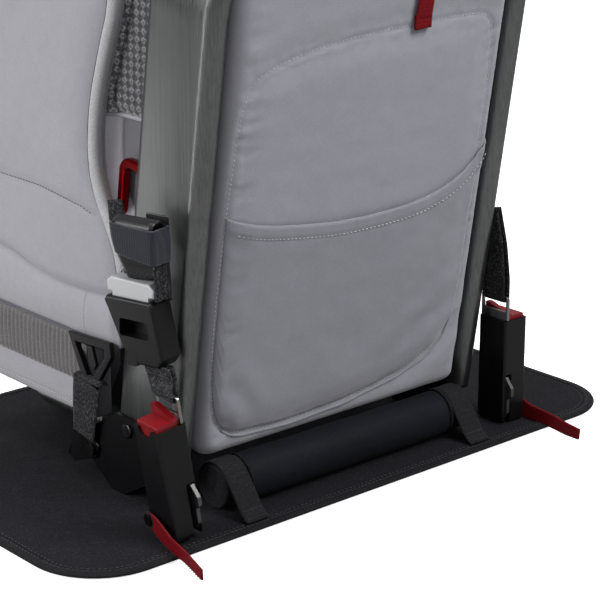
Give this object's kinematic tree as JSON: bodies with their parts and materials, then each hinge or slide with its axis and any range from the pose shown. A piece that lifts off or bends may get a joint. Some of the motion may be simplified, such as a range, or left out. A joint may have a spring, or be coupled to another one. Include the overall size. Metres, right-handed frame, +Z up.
{
  "type": "folding travel child seat",
  "caption": "Folding travel child car seat with oval-tube back frame, padded wings, height-adjusting headrest, harness, hook connectors on webbing and a protector mat.",
  "frame": {"origin": "middle of the protector mat's underside, at floor level", "axes": "+Z up, +X the seat's own left side, -Y the front of the seat"},
  "size_m": [0.656, 0.4658, 0.6333],
  "materials": {
    "frame_aluminium": "brushed, anodised",
    "cap_plastic": "moulded",
    "bracket_steel": "gloss powder coat",
    "plated_steel": "zinc plated",
    "dark_steel": "dark nickel",
    "black_plastic": "fine texture",
    "grey_button": "satin",
    "red_button": "satin",
    "red_web": "woven tape",
    "red_anodised": "anodised gloss",
    "black_webbing": "woven heather",
    "navy_elastic": "ribbed elastic",
    "grey_fabric": "fine knit",
    "light_fabric": "fine knit",
    "wing_fabric": "fine knit",
    "mesh_fabric": "spacer mesh",
    "knit_rib": "ribbed knit",
    "seat_fabric": "fine knit",
    "shell_plastic": "moulded",
    "mat_fabric": "coarse heather",
    "mat_binding": "bound edge",
    "mat_roll_fabric": "plain weave",
    "board_plastic": "moulded"
  },
  "bodies": {
    "back_frame": {"adjuster_body_left": "black_plastic", "anchor_plates": "dark_steel", "anchor_rivets": "plated_steel", "back_board": "board_plastic", "back_hoop": "frame_aluminium", "backrest_cushion": "grey_fabric", "belt_guides": "red_anodised", "harness_straps": "black_webbing", "hinge_brackets": "bracket_steel", "lap_straps": "black_webbing", "leg_bolts": "bracket_steel", "leg_end_caps": "cap_plastic", "lower_cross_tube": "frame_aluminium", "lower_strap_left": "black_webbing", "mat_base": "mat_fabric", "mat_binding": "mat_binding", "mat_roll": "mat_roll_fabric", "mat_roll_sleeve": "mat_roll_fabric", "mat_straps": "black_webbing", "pivot_pins": "plated_steel", "rear_cover": "grey_fabric", "rear_pocket": "grey_fabric", "shoulder_pads": "wing_fabric", "side_wings": "wing_fabric", "strap_keeper_left": "navy_elastic", "triangle_guides": "black_plastic", "upper_strap_left": "black_webbing", "upper_strap_right": "black_webbing", "wing_meshes": "mesh_fabric"},
    "seat": {"front_feet": "cap_plastic", "seat_arms": "plated_steel", "seat_frame": "frame_aluminium", "seat_pan": "shell_plastic", "seat_cushion": "seat_fabric", "seat_skirts": "seat_fabric", "knit_bands": "knit_rib", "buckle_body": "black_plastic", "crotch_strap": "black_webbing", "harness_tongues": "plated_steel"},
    "buckle_button": {"buckle_button": "red_button"},
    "headrest": {"headrest_slider": "shell_plastic", "headrest_shell": "shell_plastic", "headrest_cover": "light_fabric"},
    "adjuster_button": {"adjuster_button_left": "grey_button"},
    "release_tab": {"fold_release_tab": "red_web"},
    "chest_clip": {"chest_clip": "black_plastic"},
    "connector_left": {"connector_housing_left": "black_plastic", "connector_link_left": "plated_steel", "connector_hook_left": "plated_steel", "connector_rivets_left": "plated_steel"},
    "red_button_left": {"connector_button_left": "red_button"},
    "pawl_left": {"connector_pawl_left": "plated_steel"},
    "pull_left": {"connector_pull_left": "red_web"},
    "connector_right": {"connector_housing_right": "black_plastic", "connector_link_right": "plated_steel", "connector_hook_right": "plated_steel", "connector_rivets_right": "plated_steel"},
    "red_button_right": {"connector_button_right": "red_button"},
    "pawl_right": {"connector_pawl_right": "plated_steel"},
    "pull_right": {"connector_pull_right": "red_web"}
  },
  "joints": [
    {"name": "seat_fold", "type": "hinge", "parent": "back_frame", "child": "seat", "pos_m": [0, 0.032, 0.12], "axis": [-1, 0, 0], "range_deg": [0, 70], "deforming": ["side_wings", "harness_straps", "shoulder_pads"]},
    {"name": "headrest_height", "type": "slide", "parent": "back_frame", "child": "headrest", "axis": [0, 0.1495, 0.9888], "range_m": [0, 0.06]},
    {"name": "adjuster_press", "type": "slide", "parent": "back_frame", "child": "adjuster_button", "axis": [0, 0, -1], "range_m": [0, 0.0025], "stiffness_N_per_m": 900},
    {"name": "fold_release_pull", "type": "slide", "parent": "back_frame", "child": "release_tab", "axis": [0, -0.1495, -0.9888], "range_m": [0, 0.012], "stiffness_N_per_m": 500},
    {"name": "chest_clip_height", "type": "slide", "parent": "back_frame", "child": "chest_clip", "axis": [0, 0.1495, 0.9888], "range_m": [-0.02, 0.035]},
    {"name": "buckle_press", "type": "slide", "parent": "seat", "child": "buckle_button", "axis": [0, 0, -1], "range_m": [0, 0.003], "stiffness_N_per_m": 900},
    {"name": "left_connector_swing", "type": "hinge", "parent": "back_frame", "child": "connector_left", "pos_m": [0.2152, 0.15657, 0.13209], "axis": [-0.0366, -0.9993, 0], "range_deg": [0, 50]},
    {"name": "left_connector_press", "type": "slide", "parent": "connector_left", "child": "red_button_left", "axis": [-0.1615, 0.0059, -0.9869], "range_m": [0, 0.006], "stiffness_N_per_m": 900},
    {"name": "left_pawl_open", "type": "hinge", "parent": "connector_left", "child": "pawl_left", "pos_m": [0.20904, 0.14879, 0.02817], "axis": [0.9862, -0.0362, -0.1616], "range_deg": [0, 30]},
    {"name": "left_pull_lift", "type": "hinge", "parent": "connector_left", "child": "pull_left", "pos_m": [0.22477, 0.14321, 0.01898], "axis": [0.9862, -0.0362, -0.1616], "range_deg": [0, 80]},
    {"name": "right_connector_swing", "type": "hinge", "parent": "back_frame", "child": "connector_right", "pos_m": [-0.189, 0.1445, 0.1294], "axis": [0, 1, 0], "range_deg": [0, 50]},
    {"name": "right_connector_press", "type": "slide", "parent": "connector_right", "child": "red_button_right", "axis": [0, 0, -1], "range_m": [0, 0.006], "stiffness_N_per_m": 900},
    {"name": "right_pawl_open", "type": "hinge", "parent": "connector_right", "child": "pawl_right", "pos_m": [-0.2, 0.1365, 0.0259], "axis": [1, 0, 0], "range_deg": [0, 30]},
    {"name": "right_pull_lift", "type": "hinge", "parent": "connector_right", "child": "pull_right", "pos_m": [-0.2172, 0.1315, 0.0194], "axis": [1, 0, 0], "range_deg": [0, 80]}
  ],
  "couplings": [
    {"joint": "left_pawl_open", "follows": "left_connector_press", "rad_per_m": 80},
    {"joint": "right_pawl_open", "follows": "right_connector_press", "rad_per_m": 80}
  ]
}
